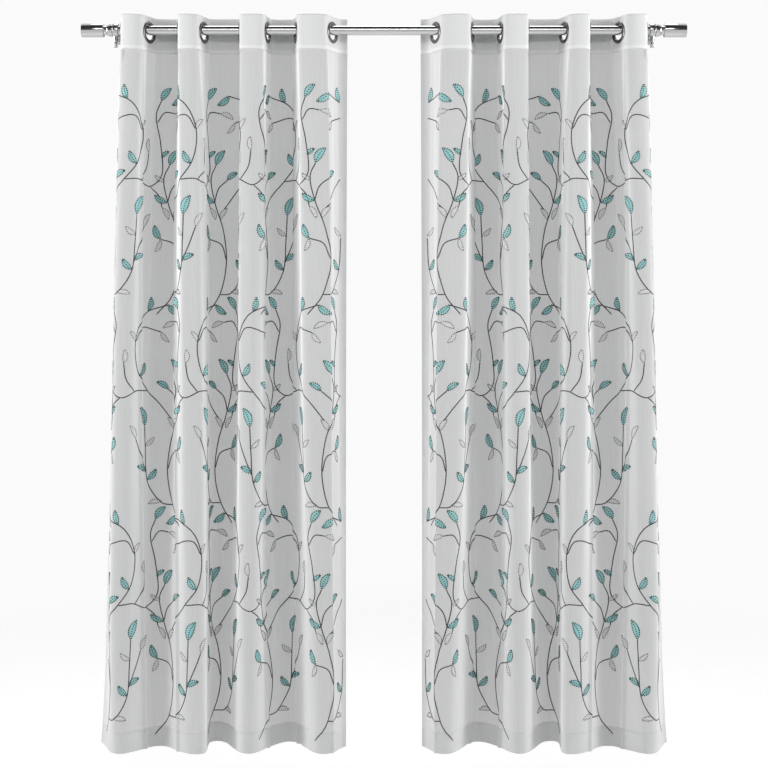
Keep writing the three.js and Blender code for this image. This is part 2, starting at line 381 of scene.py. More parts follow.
class Tree:
    """A geometry nodes tree with named inputs, made node by node."""

    def __init__(self, name, inputs):
        self.tree = bpy.data.node_groups.new(name, "GeometryNodeTree")
        self.tree.is_modifier = True
        self.keys = {}
        sockets = self.tree.interface
        for label, kind in [("Geometry", "NodeSocketGeometry"), *inputs]:
            self.keys[label] = sockets.new_socket(label, in_out="INPUT", socket_type=kind).identifier
        sockets.new_socket("Geometry", in_out="OUTPUT", socket_type="NodeSocketGeometry")
        self.given = self.tree.nodes.new("NodeGroupInput")

    def node(self, kind, settings, sockets):
        made = self.tree.nodes.new(kind)
        for name, value in settings.items():
            setattr(made, name, value)
        for key, value in sockets.items():
            if isinstance(value, bpy.types.NodeSocket):
                self.tree.links.new(value, made.inputs[key])
            else:
                made.inputs[key].default_value = value
        return made.outputs

    def finish(self, instance, turn, size=(1, 1, 1)):
        """Sets a copy of the instance on every point, turned and sized, as plain geometry."""
        points = self.given.outputs["Geometry"]
        sockets = {"Points": points, "Instance": instance, "Rotation": turn, "Scale": size}
        copies = self.node("GeometryNodeInstanceOnPoints", {}, sockets)[0]
        real = self.node("GeometryNodeRealizeInstances", {}, {0: copies})[0]
        dressed = self.node("GeometryNodeSetMaterial", {}, {0: real, 2: self.given.outputs["Material"]})[0]
        end = self.tree.nodes.new("NodeGroupOutput")
        self.tree.links.new(dressed, end.inputs[0])

    def grow(self, name, points, attributes, values):
        """The tree's result on a cloud of points, each with its own vectors or numbers."""
        mesh = bpy.data.meshes.new(name)
        mesh.from_pydata([tuple(map(float, point)) for point in points], [], [])
        for label, data in attributes.items():
            data = np.asarray(data, np.float32)
            vector = data.ndim == 2
            layer = mesh.attributes.new(label, "FLOAT_VECTOR" if vector else "FLOAT", "POINT")
            layer.data.foreach_set("vector" if vector else "value", data.ravel())
        carrier = placed(name, mesh)
        run = carrier.modifiers.new("tree", "NODES")
        run.node_group = self.tree
        for label, value in values.items():
            run[self.keys[label]] = value
        return baked_tree(name, carrier, values["Material"])


eyelet_row = Tree("eyelet_row", [("Ring", "NodeSocketObject"), ("Material", "NodeSocketMaterial")])
ring_shape = eyelet_row.node("GeometryNodeObjectInfo", {}, {0: eyelet_row.given.outputs["Ring"]})["Geometry"]
ring_turn = eyelet_row.node(
    "GeometryNodeInputNamedAttribute", {"data_type": "FLOAT"}, {0: "turn"}
)["Attribute"]
ring_spin = eyelet_row.node("ShaderNodeCombineXYZ", {}, {"Z": ring_turn})[0]
eyelet_row.finish(ring_shape, ring_spin)

nickel = polished_metal("dark_nickel", (0.185, 0.175, 0.170, 1), 0.22, (260.0, 260.0, 260.0))
half_ring = [
    (0.0000, 0.02100), (0.0016, 0.02108), (0.0028, 0.02170), (0.0036, 0.02290),
    (0.0040, 0.02450), (0.0040, 0.02700), (0.0038, 0.02880), (0.0033, 0.03040),
    (0.0026, 0.03150), (0.0018, 0.03195), (GROOVE_HALF, 0.03170),
    (GROOVE_HALF, 0.02450),
]
whole_ring = half_ring + [(-distance, radius) for distance, radius in reversed(half_ring[1:])]
ring_master = made_piece("eyelet_master", *turned(whole_ring[::-1], (0, 0, 0), (0, 1, 0), steps=56), nickel)
for side, way in SIDES:
    eyelets = eyelet_row.grow(
        f"eyelets_{side}",
        [(-way * x, ROD_AXIS_Y, -EYELET_DROP) for x, _, _ in CROSSINGS],
        {"turn": [-way * turn for turn in turns_of_eyelets()]},
        {"Ring": ring_master, "Material": nickel},
    )
    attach(eyelets, "root")
    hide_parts(*[f"eyelet_{side}_{number}" for number in range(1, 9)])
bpy.data.objects.remove(ring_master)

# HEADINGS
# The top of each curtain: voile folded over a stiff band, so it is white and hardly lets light through.
# It is flat where an eyelet grips it and bends round between eyelets. A row of stitches joins it to the
# cloth.
HEAD_TOP = 0.040
HEAD_HEIGHT = 0.102
EYELET_FLAT = 0.033
EYELET_HOLE = 0.0248
OUTER_EDGE = (-0.772, 0.070)
INNER_EDGE = (-0.108, 0.038)
FLAT_WIDTH = 1.143
TURNED_EDGE = HEAD_TOP - HEAD_HEIGHT + 0.011
HALF_CURVE = 64
WEAVE_RATE = 5200.0


def bezier(corners, steps):
    """Points on a curve with three or four control points."""
    share = np.linspace(0, 1, steps)[:, None]
    level = [np.array(corner, float)[None, :] + 0 * share for corner in corners]
    while len(level) > 1:
        level = [(1 - share) * a + share * b for a, b in zip(level, level[1:])]
    return level[0]


def heading_run():
    """The heading seen from above, as its flat stretches and the curves before, between and after them."""
    flats = []
    for (x, _, _), turn in zip(CROSSINGS, turns_of_eyelets()):
        along = np.array((math.cos(turn), math.sin(turn)))
        flats.append((np.array((x, 0.0)), along))
    (outer, outer_way), (inner, inner_way) = flats[0], flats[-1]
    lead = [OUTER_EDGE, outer - outer_way * (EYELET_FLAT + 0.018), outer - outer_way * EYELET_FLAT]
    curves = [bezier(lead, HALF_CURVE + 1)]
    for (near, far), (_, _, crest) in zip(zip(flats, flats[1:]), CROSSINGS):
        leave = near[0] + near[1] * EYELET_FLAT
        reach = far[0] - far[1] * EYELET_FLAT
        handle = abs(crest - (leave[1] + reach[1]) / 2) / (0.375 * (abs(near[1][1]) + abs(far[1][1])))
        bend = [leave, leave + near[1] * handle, reach - far[1] * handle, reach]
        curves.append(bezier(bend, 2 * HALF_CURVE + 1))
    tail = [inner + inner_way * EYELET_FLAT, inner + inner_way * (EYELET_FLAT + 0.014), INNER_EDGE]
    curves.append(bezier(tail, HALF_CURVE + 1))
    return flats, curves


def lengths_along(run):
    """How far along a run of points each of them is."""
    return np.concatenate([[0], np.cumsum(np.linalg.norm(np.diff(run, axis=0), axis=1))])


def evenly(run, steps):
    """A run of points again, at even steps along its length."""
    length = lengths_along(run)
    places = np.linspace(0, length[-1], steps)
    return np.column_stack([np.interp(places, length, run[:, axis]) for axis in range(run.shape[1])])


def length_of(run):
    return float(np.linalg.norm(np.diff(run, axis=0), axis=1).sum())


def voile_weave(finish, flat):
    """Fine threads both ways and thicker slubs here and there: (threads, slubs), each from 0 to 1."""
    parts = {}
    for way in "XY":
        phase = finish.part(flat, way) * WEAVE_RATE
        parts[way] = finish.node("ShaderNodeMath", {"operation": "SINE"}, {0: phase})
    threads = parts["X"] * parts["Y"] * 0.5 + 0.5
    tall = finish.node("ShaderNodeMapping", {}, {"Vector": flat, "Scale": (420.0, 9.0, 1.0)})
    wide = finish.node("ShaderNodeMapping", {}, {"Vector": flat, "Scale": (9.0, 420.0, 1.0)})
    warp = finish.noise(tall, 1.0, 3.0)
    weft = finish.noise(wide, 1.0, 3.0)
    return threads, warp * 0.8 + weft * 0.2


def woven_front(finish, tone, weave, relief, roughness, sheen):
    """The front of a woven cloth, with its threads in relief and a sheen from its fibres."""
    threads, slubs = weave
    return finish.principled({
        "Base Color": tone,
        "Roughness": roughness + slubs * 0.2,
        "Sheen Weight": sheen[0],
        "Sheen Roughness": sheen[1],
        "Normal": finish.bump(threads * relief[0] + slubs, relief[1]),
    })


heading_cloth = Finish(bpy.data.materials.new("stiffened_voile"))
heading_flat = heading_cloth.node("ShaderNodeUVMap", {"uv_map": "flat"}, {})
heading_weave = voile_weave(heading_cloth, heading_flat)
heading_tone = heading_cloth.blend(heading_weave[1], (0.80, 0.805, 0.81, 1), (0.90, 0.905, 0.91, 1))
heading_height = heading_cloth.part(heading_flat, "Y")
heading_turning = heading_cloth.ramp(heading_height, TURNED_EDGE + 0.001, TURNED_EDGE, 0.0, 0.75)
heading_tone = heading_cloth.blend(heading_turning, heading_tone, (0.98, 0.98, 0.98, 1))
heading_shine = woven_front(heading_cloth, heading_tone, heading_weave, (0.5, 0.25), 0.75, (0.25, 0.4))
heading_glow = heading_cloth.node("ShaderNodeBsdfTranslucent", {}, {"Color": (0.86, 0.87, 0.87, 1)})
heading_voile = heading_cloth.surface(heading_cloth.layer(0.15, heading_shine, heading_glow))


def heading_mesh():
    """The band's middle surface: points, faces and flat places. Each flat stretch has a round hole."""
    flats, curves = heading_run()
    heights = np.linspace(HEAD_TOP - HEAD_HEIGHT, HEAD_TOP, 19)
    points, faces, flat = [], [], []
    travelled = 0.0

    def strip(run, start):
        first = len(points)
        far = start + lengths_along(run)
        for (x, y), place in zip(run, far):
            points.extend((x, y + ROD_AXIS_Y, z) for z in heights)
            flat.extend((place, z) for z in heights)
        tall = len(heights)
        for column in range(len(run) - 1):
            for row in range(tall - 1):
                at = first + column * tall + row
                faces.append((at, at + tall, at + tall + 1, at + 1))
        return far[-1]

    def holed(centre, along, start):
        across = np.linspace(-EYELET_FLAT, EYELET_FLAT, 13)
        rim = [(-EYELET_FLAT, z) for z in heights[::-1]]
        rim += [(s, heights[0]) for s in across[1:-1]]
        rim += [(EYELET_FLAT, z) for z in heights]
        rim += [(s, heights[-1]) for s in across[::-1][1:-1]]
        first = len(points)
        steps = 7
        for s, z in rim:
            angle = math.atan2(z + EYELET_DROP, s)
            inner = (EYELET_HOLE * math.cos(angle), EYELET_HOLE * math.sin(angle) - EYELET_DROP)
            for step in range(steps):
                share = (step / (steps - 1)) ** 0.8
                place = (inner[0] + (s - inner[0]) * share, inner[1] + (z - inner[1]) * share)
                x, y = centre + along * place[0]
                points.append((x, y + ROD_AXIS_Y, place[1]))
                flat.append((start + EYELET_FLAT + place[0], place[1]))
        count = len(rim)
        for ray in range(count):
            near = first + ray * steps
            far = first + ((ray + 1) % count) * steps
            for step in range(steps - 1):
                faces.append((near + step, near + step + 1, far + step + 1, far + step))
        return start + 2 * EYELET_FLAT

    for number, curve in enumerate(curves):
        travelled = strip(evenly(curve, 13 if number in (0, len(curves) - 1) else 29), travelled)
        if number < len(flats):
            travelled = holed(*flats[number], travelled)
    return np.array(points), faces, np.array(flat)


def mirrored(points, way):
    """The left curtain's points, or their mirror image for the right one."""
    return np.asarray(points) * (-way, 1, 1)


def sided_piece(name, way, shape, material):
    """A piece of the left curtain, or its mirror image, from its points, faces and flat places."""
    points, faces, flat = shape
    if way > 0:
        faces = [tuple(reversed(face)) for face in faces]
    return made_piece(name, mirrored(points, way), faces, material, flat)


band = heading_mesh()
for side, way in SIDES:
    heading = sided_piece(f"heading_{side}_band", way, band, heading_voile)
    mended(heading.data, joined=1e-6)
    thickened = heading.modifiers.new("thickness", "SOLIDIFY")
    thickened.thickness = 0.0018
    thickened.offset = 0
    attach(heading, "root")
    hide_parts(f"heading_{side}")

# HANGING CLOTH
# One width of sheer white polyester voile under each heading. Its folds start at the eyelets and fall
# straight to the hem. The bottom and both sides are turned to the back and sewn down as hems.
CLOTH_TOP = HEAD_TOP - HEAD_HEIGHT - 0.0003
CLOTH_LENGTH = 2.134 - HEAD_HEIGHT - 0.0003
HEM = 0.058
SIDE_HEM = 0.022
HEM_GAP = 0.0009
# Each row is one fold at the hem, from the outer edge inwards: where its crest is, seen from above, how
# far it runs level to either side, and how far it bows sideways halfway up.
HEM_FOLDS = (
    (-0.836, 0.050, 0.012, 0.0),
    (-0.762, -0.058, 0.040, -0.012),
    (-0.653, 0.012, 0.046, -0.008),
    (-0.540, -0.060, 0.062, 0.003),
    (-0.496, 0.058, 0.052, 0.004),
    (-0.394, -0.056, 0.044, 0.0),
    (-0.279, 0.052, 0.048, -0.010),
    (-0.178, -0.058, 0.046, 0.0),
    (-0.111, 0.010, 0.014, -0.002),
)
# How far the outer edge stands out (-) or in (+) from a straight fall, by the share of the way down.
EDGE_SHARES = (0, 0.02, 0.06, 0.16, 0.3, 0.45, 0.6, 0.75, 0.88, 0.971, 1)
EDGE_STEPS = (0, -0.013, -0.015, -0.013, -0.008, -0.004, 0, 0.003, 0.006, 0.003, 0)
# Each row is one crease: how far across the flat cloth it is at its top and at its foot, where it starts
# and ends below the heading, its half width, and how far it stands out (-) or in (+). The last six are
# narrow pressed folds and the others are soft.
CREASES = (
    (0.060, 0.045, 0.00, 1.40, 0.020, 0.0040),
    (0.128, 0.110, 0.10, 1.90, 0.016, -0.0030),
    (0.190, 0.215, 0.00, 0.90, 0.018, 0.0035),
    (0.262, 0.250, 0.30, 2.03, 0.022, 0.0040),
    (0.330, 0.318, 0.00, 1.10, 0.015, -0.0030),
    (0.405, 0.425, 0.20, 1.80, 0.020, 0.0035),
    (0.470, 0.462, 0.00, 0.80, 0.016, -0.0028),
    (0.560, 0.585, 0.50, 2.03, 0.022, -0.0035),
    (0.640, 0.628, 0.00, 1.30, 0.018, 0.0035),
    (0.712, 0.735, 0.15, 1.70, 0.016, -0.0032),
    (0.800, 0.790, 0.00, 2.03, 0.022, 0.0038),
    (0.878, 0.905, 0.40, 1.90, 0.018, -0.0030),
    (0.965, 0.950, 0.00, 1.20, 0.020, 0.0040),
    (1.040, 1.062, 0.20, 2.03, 0.020, -0.0035),
    (1.100, 1.092, 0.00, 1.00, 0.014, 0.0025),
    (0.182, 0.232, 0.00, 2.40, 0.0052, -0.0068),
    (0.330, 0.349, 0.30, 2.40, 0.0052, -0.0068),
    (0.446, 0.464, 0.00, 1.20, 0.0052, -0.0068),
    (0.747, 0.799, 0.00, 2.40, 0.0052, -0.0068),
    (0.921, 0.891, 0.00, 2.40, 0.0052, -0.0062),
    (1.060, 1.057, 0.00, 2.40, 0.0052, -0.0062),
)
FOLD_STEPS = 96
CLOTH_COLUMNS = 459
CLOTH_ROWS = 120
HEM_ROWS = 6

round_stretches = heading_run()[1]
head_folds, hem_folds = [], []
for number in range(len(CROSSINGS)):
    last = number == len(CROSSINGS) - 1
    before = round_stretches[number][HALF_CURVE if number else 0 :]
    after = round_stretches[number + 1][: None if last else HALF_CURVE + 1]
    head_folds.append(evenly(np.vstack([before, after]), FOLD_STEPS + 1))
    (x0, y0, level0, _), (x1, y1, level1, _) = HEM_FOLDS[number : number + 2]
    hem_curve = bezier([(x0, y0), (x0 + level0, y0), (x1 - level1, y1), (x1, y1)], 2 * HALF_CURVE + 1)
    hem_folds.append(evenly(hem_curve, FOLD_STEPS + 1))
head_run = np.vstack([fold[:-1] for fold in head_folds] + [head_folds[-1][-1:]])
hem_run = np.vstack([fold[:-1] for fold in hem_folds] + [hem_folds[-1][-1:]])
run_places = np.arange(len(head_run)) / FOLD_STEPS
fold_widths = [(length_of(head) + length_of(hem)) / 2 for head, hem in zip(head_folds, hem_folds)]
fold_edges = np.concatenate([[0], np.cumsum(fold_widths)]) * FLAT_WIDTH / sum(fold_widths)


def smooth_step(value, low, high):
    share = np.clip((value - low) / (high - low), 0, 1)
    return share * share * (3 - 2 * share)


def unruffled(across, down):
    """Where a point of the flat cloth hangs without its creases, by how far across and down it is."""
    crests = np.arange(len(HEM_FOLDS))
    fold = np.interp(across, fold_edges, crests)
    share = down / CLOTH_LENGTH
    bow = np.interp(fold, crests, [row[3] for row in HEM_FOLDS]) * 4 * share * (1 - share)
    top_x, top_y = (np.interp(fold, run_places, head_run[:, axis]) for axis in (0, 1))
    hem_x, hem_y = (np.interp(fold, run_places, hem_run[:, axis]) for axis in (0, 1))
    x = top_x * (1 - share) + hem_x * share
    y = top_y * (1 - share) + hem_y * share
    edge = np.interp(share, EDGE_SHARES, EDGE_STEPS) * np.clip(1 - fold, 0, 1) ** 2
    return np.stack([x + bow + edge, y + ROD_AXIS_Y, CLOTH_TOP - down], axis=-1)


def facing(place, across, down):
    """The direction that the front of the cloth faces at a point, from two small steps on it."""
    step = 0.002
    left, right = (np.clip(across + way * step, 0, FLAT_WIDTH) for way in (-1, 1))
    above, below = (np.clip(down + way * step, 0, CLOTH_LENGTH) for way in (-1, 1))
    out = np.cross(place(across, below) - place(across, above), place(right, down) - place(left, down))
    return out / np.linalg.norm(out, axis=-1, keepdims=True)


def hung(across, down):
    """Where a point of the flat cloth hangs, with its creases."""
    across, down = np.broadcast_arrays(np.asarray(across, float), np.asarray(down, float))
    ruffle = np.zeros(across.shape)
    for top, foot, start, end, width, depth in CREASES:
        line = top + (foot - top) * (down - start) / (end - start)
        fade = smooth_step(down, start - 0.12, start + 0.25) * (1 - smooth_step(down, end - 0.35, end + 0.15))
        ruffle = ruffle + depth * fade * np.exp(-(((across - line) / width) ** 2))
    ruffle = ruffle + 0.0012 * np.sin(across * 61 + 2.1 * np.sin(down * 2.3)) * smooth_step(down, 0.0, 0.4)
    return unruffled(across, down) - facing(unruffled, across, down) * ruffle[..., None]


sheer = Finish(bpy.data.materials.new("sheer_voile"))
sheer_flat = sheer.node("ShaderNodeUVMap", {"uv_map": "flat"}, {})
sheer_threads, sheer_slubs = voile_weave(sheer, sheer_flat)
sheer_tone = sheer.blend(sheer_slubs, (0.67, 0.675, 0.68, 1), (0.77, 0.775, 0.78, 1))
sheer_sideways = sheer.part(sheer_flat, "X") - FLAT_WIDTH / 2
sheer_aside = sheer.node("ShaderNodeMath", {"operation": "ABSOLUTE"}, {0: sheer_sideways})
HEM_FADE = 0.0015
hem_start = HEM - CLOTH_LENGTH
side_start = FLAT_WIDTH / 2 - SIDE_HEM
doubled_below = sheer.ramp(sheer.part(sheer_flat, "Y"), hem_start, hem_start - HEM_FADE)
doubled_aside = sheer.ramp(sheer_aside, side_start, side_start + HEM_FADE)
sheer_doubled = doubled_below.sum("MAXIMUM", doubled_below, doubled_aside)
sheer_tone = sheer.blend(sheer_doubled, sheer_tone, (0.90, 0.905, 0.91, 1))
sheer_weave = (sheer_threads, sheer_slubs)
sheer_shine = woven_front(sheer, sheer_tone, sheer_weave, (0.4, 0.2), 0.65, (1.0, 0.22))
sheer_glow = sheer.node("ShaderNodeBsdfTranslucent", {}, {"Color": sheer_tone})
sheer_body = sheer.layer(0.34, sheer_shine, sheer_glow)
# Painted sheen: where the voile turns edge-on it is mixed towards a near-white diffuse surface, so the edges
# of the folds look brighter.
sheer_painted_sheen_share = sheer.node("ShaderNodeLayerWeight", {}, {"Blend": 0.5}, out="Facing")
sheer_painted_sheen = sheer.node("ShaderNodeBsdfDiffuse", {}, {"Color": (0.99, 0.99, 0.99, 1)})
sheer_body = sheer.layer(sheer_painted_sheen_share * sheer_painted_sheen_share, sheer_body, sheer_painted_sheen)
sheer_holes = sheer.node("ShaderNodeBsdfTransparent", {}, {})
sheer_cover = 0.69 + sheer_slubs * 0.12 + sheer_threads * 0.04
sheer_voile = sheer.surface(sheer.layer(sheer_cover, sheer_holes, sheer_body))


def cloth_mesh():
    """The sheet with its side hems and bottom hem turned to the back: points, faces and flat places."""
    outer_hem = [-SIDE_HEM, -SIDE_HEM / 2]
    inner_hem = [FLAT_WIDTH + SIDE_HEM / 2, FLAT_WIDTH + SIDE_HEM]
    across = np.concatenate([outer_hem, np.linspace(0, FLAT_WIDTH, CLOTH_COLUMNS), inner_hem])
    turned_up = CLOTH_LENGTH + np.linspace(0.001, HEM, HEM_ROWS)
    down = np.concatenate([np.linspace(0, CLOTH_LENGTH, CLOTH_ROWS), turned_up])
    grid_across, grid_down = np.meshgrid(across, down)
    past_outer = grid_across < 0
    past_inner = grid_across > FLAT_WIDTH
    past_foot = grid_down > CLOTH_LENGTH
    on_across = np.where(past_inner, 2 * FLAT_WIDTH - grid_across, np.abs(grid_across))
    on_down = np.where(past_foot, 2 * CLOTH_LENGTH - grid_down, grid_down)
    behind = HEM_GAP * (past_outer | past_inner) + HEM_GAP * past_foot
    points = hung(on_across, on_down) - facing(hung, on_across, on_down) * behind[..., None]
    wide = len(across)
    faces = []
    for row in range(len(down) - 1):
        for at in range(row * wide, row * wide + wide - 1):
            faces.append((at, at + wide, at + wide + 1, at + 1))
    return points.reshape(-1, 3), faces, np.column_stack([grid_across.ravel(), -grid_down.ravel()])


cloth = cloth_mesh()
panels = {}
for side, way in SIDES:
    panels[side] = sided_piece(f"panel_{side}_voile", way, cloth, sheer_voile)
    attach(panels[side], "root")
    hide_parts(f"panel_{side}")

# EMBROIDERED STEMS
# Leafy sprigs are embroidered all over the cloth before it is sewn up. Their stems are a raised line of
# charcoal chain stitch that shows on both sides of the voile.
STEM_HALF_WIDTH = 0.0016
STEM_HALF_HEIGHT = 0.0008
STEM_STEP = 0.0042
STEM_MARGIN = 0.016
SPRIG_ROWS = 3
SPRIG_WIDE = 0.247
SPRIG_TALL = 0.615
SPRIG_FOOT = 0.034
FIRST_SPRIG = 0.008
FIRST_SET_IN = 0.030
BACKWARD_SHIFT = 0.10
ARCHED_ASIDE = 0.124
ARCHED_ABOVE = 0.392
OUTER_BARE = 0.046
FOOT_BARE = 0.012
# Each sprig is charted in millimetres from its foot, to the right and up. A stem is a run of points.
TALL_SPRIG_STEMS = (
    ((0, 0), (44, 58), (64, 150), (54, 246), (28, 326), (14, 396), (30, 440)),
    ((44, 58), (84, 66), (122, 128), (130, 214), (134, 292)),
    ((126, 150), (150, 206), (170, 256)),
    ((63, 162), (48, 206), (8, 222)),
    ((26, 330), (38, 370), (64, 396)),
)
ARCHED_SPRIG_STEMS = (
    ((-70, -84), (-30, -32), (0, 0), (42, 62), (52, 146), (16, 222), (-56, 252)),
    ((0, 0), (46, 2), (96, -16), (132, 22), (126, 112), (112, 190), (126, 238)),
    ((50, 146), (22, 186), (-38, 172)),
    ((54, 0), (80, 36), (88, 84)),
    ((116, 172), (136, 202), (166, 200)),
    ((96, -16), (124, -42), (134, -78)),
)
# Each leaf is its foot, the way it points in degrees, its length in millimetres, and whether it is teal.
TALL_SPRIG_LEAVES = (
    (30, 440, 58, 46, True),
    (134, 292, 68, 52, True),
    (170, 256, 60, 40, False),
    (8, 222, 112, 40, True),
    (8, 220, 248, 34, False),
    (64, 396, 32, 36, True),
    (17, 392, 146, 30, False),
    (25, 330, 148, 38, True),
    (45, 280, 58, 36, False),
    (122, 132, 130, 36, True),
    (127, 158, 24, 36, True),
    (132, 232, 142, 34, False),
    (80, 66, -8, 36, False),
)
ARCHED_SPRIG_LEAVES = (
    (-56, 252, 218, 40, True),
    (2, 234, 104, 38, True),
    (-38, 172, 232, 34, False),
    (52, 146, 56, 32, False),
    (34, 46, 120, 38, True),
    (88, 84, 92, 36, False),
    (126, 238, 52, 42, True),
    (166, 200, -24, 38, False),
    (130, 70, 40, 26, True),
    (134, -78, -62, 36, False),
)


def curved(points, step):
    """A smooth run through charted points, at even steps."""
    chart = np.array(points, float) / 1000
    ends = np.vstack([2 * chart[0] - chart[1], chart, 2 * chart[-1] - chart[-2]])
    share = np.linspace(0, 1, 24)[:, None]
    runs = []
    for a, b, c, d in zip(ends, ends[1:], ends[2:], ends[3:]):
        straight = 2 * b + (c - a) * share
        bent = straight + (2 * a - 5 * b + 4 * c - d) * share**2
        runs.append(0.5 * (bent + (3 * b - a - 3 * c + d) * share**3))
    run = np.vstack(runs)
    run = run[np.concatenate([[True], np.linalg.norm(np.diff(run, axis=0), axis=1) > 1e-7])]
    return evenly(run, max(4, round(length_of(run) / step) + 1))


def sprig_places():
    """Where each sprig's foot is on the flat cloth, below the heading, which way it leans, and its chart."""
    for row in range(SPRIG_ROWS):
        lean = 1 if row % 2 == 0 else -1
        foot = CLOTH_LENGTH - SPRIG_FOOT - row * SPRIG_TALL
        for column in range(-1, 6):
            across = FIRST_SPRIG + SPRIG_WIDE * column + (0 if lean > 0 else BACKWARD_SHIFT)
            set_in = FIRST_SET_IN if lean > 0 and column == 0 else 0
            yield across + set_in, foot, lean, TALL_SPRIG_STEMS, TALL_SPRIG_LEAVES
            aside = across + ARCHED_ASIDE * lean
            yield aside, foot - ARCHED_ABOVE, lean, ARCHED_SPRIG_STEMS, ARCHED_SPRIG_LEAVES


def inside(flat, margin):
    """True for places on the cloth, clear of its edges and of the part that turns back outside."""
    return (
        (flat[:, 0] > OUTER_BARE)
        & (flat[:, 0] < FLAT_WIDTH - margin)
        & (flat[:, 1] > margin)
        & (flat[:, 1] < CLOTH_LENGTH - FOOT_BARE)
    )


def stem_mesh():
    """Every stem as a flattened thread that runs through the cloth: points, faces, and length and turn."""
    points, faces, thread = [], [], []
    round_steps = 6
    turns = np.arange(round_steps) * 2 * np.pi / round_steps
    for across, foot, lean, stems, _ in sprig_places():
        for stem in stems:
            run = curved(stem, STEM_STEP)
            flat = np.column_stack([across + lean * run[:, 0], foot - run[:, 1]])
            kept = np.flatnonzero(inside(flat, STEM_MARGIN))
            for part in np.split(kept, np.flatnonzero(np.diff(kept) > 1) + 1):
                if len(part) < 3:
                    continue
                way = flat[part]
                middle = hung(way[:, 0], way[:, 1])
                out = facing(hung, way[:, 0], way[:, 1])
                along = np.gradient(middle, axis=0)
                beside = np.cross(out, along)
                beside /= np.linalg.norm(beside, axis=1, keepdims=True)
                taper = np.ones(len(part))
                taper[0] = taper[-1] = 0.45
                taper = taper * (1 + 0.14 * np.cos(np.arange(len(part)) * np.pi))
                first = len(points)
                for spot in range(len(part)):
                    for turn in turns:
                        points.append(
                            middle[spot]
                            + taper[spot] * STEM_HALF_WIDTH * math.cos(turn) * beside[spot]
                            + taper[spot] * STEM_HALF_HEIGHT * math.sin(turn) * out[spot]
                        )
                        thread.append((spot * STEM_STEP, turn / (2 * np.pi)))
                for spot in range(len(part) - 1):
                    near = first + spot * round_steps
                    far = near + round_steps
                    for step in range(round_steps):
                        after = (step + 1) % round_steps
                        faces.append((near + step, near + after, far + after, far + step))
                end = first + (len(part) - 1) * round_steps
                faces.append(tuple(first + step for step in reversed(range(round_steps))))
                faces.append(tuple(end + step for step in range(round_steps)))
    return np.array(points), faces, np.array(thread)


def sewing_thread(name, dark, light, lay, shine, cover=1.0):
    """Thread that lies in close rows: height changes across each row, and the colour is painted darker in the
    low part of each row as shade between the threads, over a random tone. Thin rows let light by.
    """
    finish = Finish(bpy.data.materials.new(name))
    rows = finish.node("ShaderNodeUVMap", {"uv_map": "flat"}, {})
    turn, scale = lay
    slant = finish.node("ShaderNodeMapping", {}, {"Vector": rows, "Rotation": (0, 0, turn), "Scale": scale})
    bands = {"Vector": slant, "Scale": 1.0, "Distortion": 1.2, "Detail": 1.0}
    wave = finish.node("ShaderNodeTexWave", {"wave_type": "BANDS"}, bands)
    fuzz = finish.noise(rows, 700.0, 2.0)
    # Painted shade: the colour follows the height of the rows, so the grooves between threads are darker. The
    # noise gives the thread a random tone of its own.
    tone = finish.blend(wave * 0.7 + fuzz * 0.3, dark, light)
    relief = finish.bump(wave, 0.5)
    shader = finish.principled({
        "Base Color": tone,
        "Roughness": 0.42 + fuzz * 0.25,
        "Sheen Weight": shine,
        "Sheen Roughness": 0.3,
        "Normal": relief,
    })
    if cover < 1:
        gaps = finish.node("ShaderNodeBsdfTransparent", {}, {})
        shader = finish.layer(wave * 0.3 + (cover - 0.15), gaps, shader)
    return finish.surface(shader)


charcoal = sewing_thread(
    "charcoal_chain_stitch", (0.019, 0.020, 0.021, 1), (0.054, 0.055, 0.057, 1), (0, (75.0, 0.5, 1.0)), 0.1
)
all_stems = stem_mesh()
sewn_on = {"left": [], "right": []}
for side, way in SIDES:
    stems = sided_piece(f"stems_{side}", way, all_stems, charcoal)
    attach(stems, "root")
    sewn_on[side].append(stems)

# EMBROIDERED LEAVES
# Each leaf is a pad of satin stitch with its threads slanting from the middle to the edge. Most are teal,
# and the rest are white and nearly as sheer as the cloth.
LEAF_STEPS = 11
LEAF_ROWS = 7
LEAF_SCALE = 1.12
LEAF_BEND = 0.10
LEAF_MARGIN = 0.010
LEAF_FOOT_MARGIN = 0.014
TEAL_HALF_WIDTH = 0.195
PALE_HALF_WIDTH = 0.17
SATIN_LAY = (0.75, (330.0, 330.0, 1.0))


def leaf_charts(teal):
    """The middle line, half widths and side directions of every leaf of one colour, on the flat cloth."""
    for across, foot, lean, _, leaves in sprig_places():
        for right, up, angle, charted, is_teal in leaves:
            if is_teal != teal:
                continue
            long = LEAF_SCALE * charted
            turn = math.radians(angle)
            share = np.linspace(0, 1, LEAF_STEPS)
            bend = LEAF_BEND * np.sin(np.pi * share)
            wide = long * (TEAL_HALF_WIDTH if teal else PALE_HALF_WIDTH)
            half = wide * np.sin(np.pi * share**0.92) ** 0.95
            half[0] = half[-1] = 0
            line = np.column_stack(
                [
                    right + long * (share * math.cos(turn) - bend * math.sin(turn)),
                    up + long * (share * math.sin(turn) + bend * math.cos(turn)),
                ]
            )
            line = np.column_stack([across + lean * line[:, 0] / 1000, foot - line[:, 1] / 1000])
            along = np.gradient(line, axis=0)
            along /= np.linalg.norm(along, axis=1, keepdims=True)
            beside = np.column_stack([-along[:, 1], along[:, 0]])
            edge = np.vstack([line + beside * half[:, None] / 1000, line - beside * half[:, None] / 1000])
            if inside(edge, LEAF_MARGIN).all() and line[0, 0] < FLAT_WIDTH - LEAF_FOOT_MARGIN:
                yield line, half / 1000, beside


